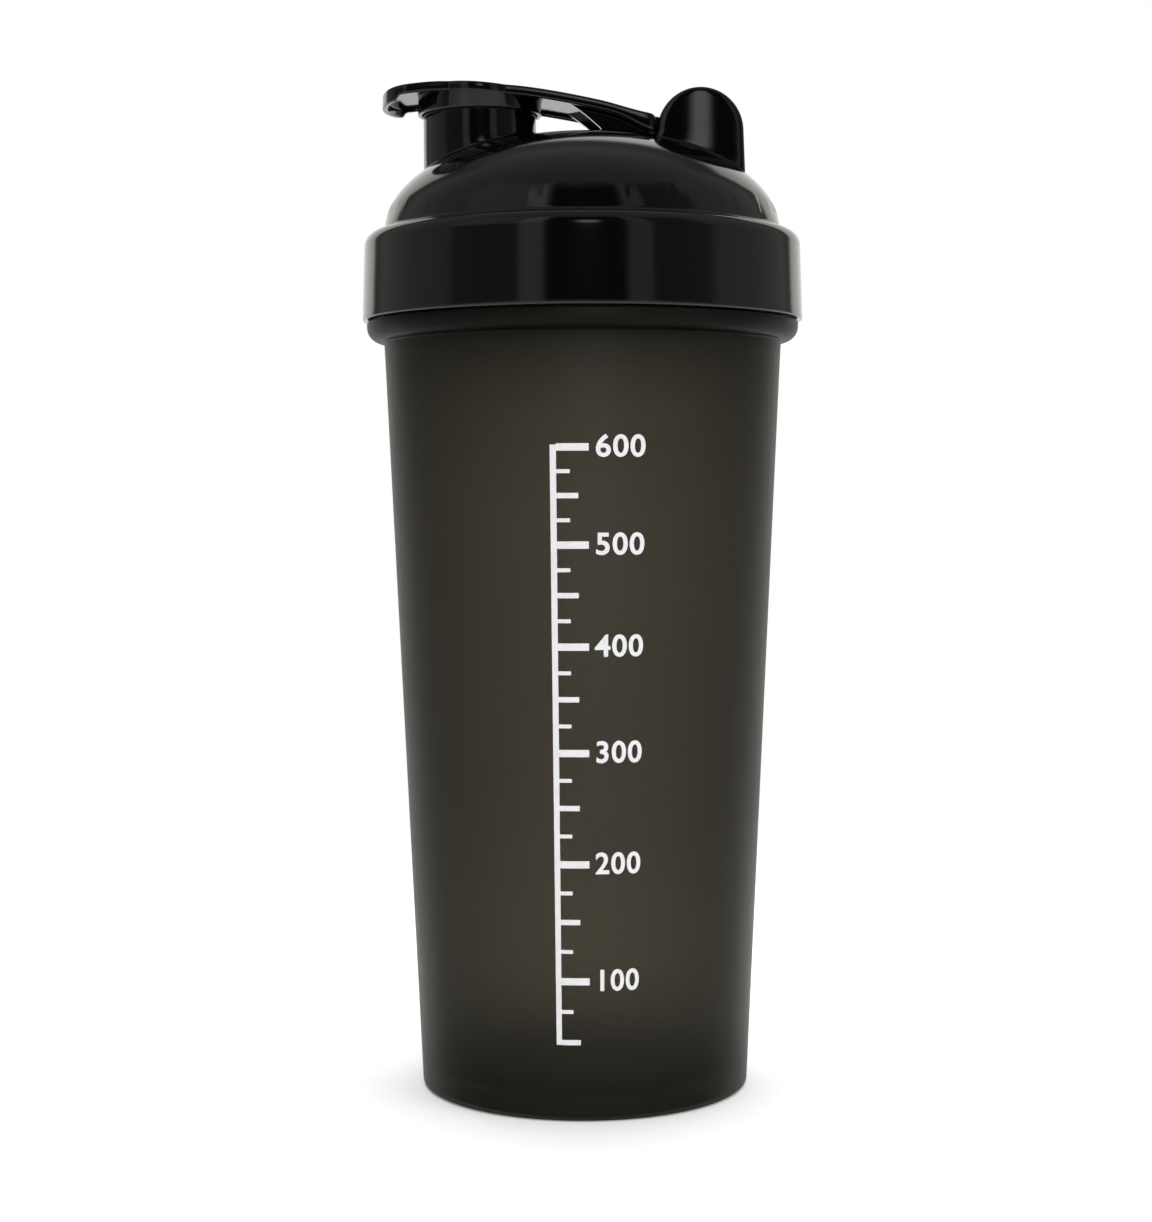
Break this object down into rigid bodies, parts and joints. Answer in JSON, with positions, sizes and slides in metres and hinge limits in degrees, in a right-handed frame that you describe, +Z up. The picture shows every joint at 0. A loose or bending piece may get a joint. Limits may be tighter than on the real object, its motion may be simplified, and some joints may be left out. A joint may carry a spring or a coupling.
{
  "type": "protein shaker bottle",
  "caption": "Tapered translucent shaker cup with a domed screw lid, a round drinking spout, a hinged flip cap that plugs it, a mixing grid in the mouth and a measuring scale.",
  "frame": {"origin": "centre of the foot, on the surface that the bottle stands on", "axes": "+Z up along the cup's axis, -X towards the drinking spout and the thumb tab, +X towards the flip cap's hinge, whose axis runs along Y"},
  "size_m": [0.0962, 0.0962, 0.2185],
  "materials": {
    "smoke_plastic": "satin translucent smoke polypropylene",
    "black_plastic": "polished black polypropylene",
    "grid_plastic": "satin black polypropylene",
    "silicone": "matt black silicone",
    "print": "screen-printed white ink"
  },
  "bodies": {
    "cup_body": {"cup": "smoke_plastic", "mixing_grid": "grid_plastic"},
    "seal_body": {"lid_seal": "silicone"},
    "lid_body": {"lid": "black_plastic"},
    "cap_body": {"flip_cap": "black_plastic", "spout_plug": "silicone"}
  },
  "joints": [
    {"name": "lid_lift", "type": "slide", "parent": "cup_body", "child": "seal_body", "axis": [0, 0, 1], "range_m": [0, 0.0091]},
    {"name": "lid_turn", "type": "hinge", "parent": "seal_body", "child": "lid_body", "pos_m": [0, 0, 0.168], "axis": [0, 0, 1], "range_deg": [0, 540]},
    {"name": "cap_flip", "type": "hinge", "parent": "lid_body", "child": "cap_body", "pos_m": [0.0254, 0, 0.20785], "axis": [0, 1, 0], "range_deg": [0, 170]}
  ],
  "couplings": [
    {"joint": "lid_lift", "follows": "lid_turn", "m_per_rad": 0.00095493}
  ]
}
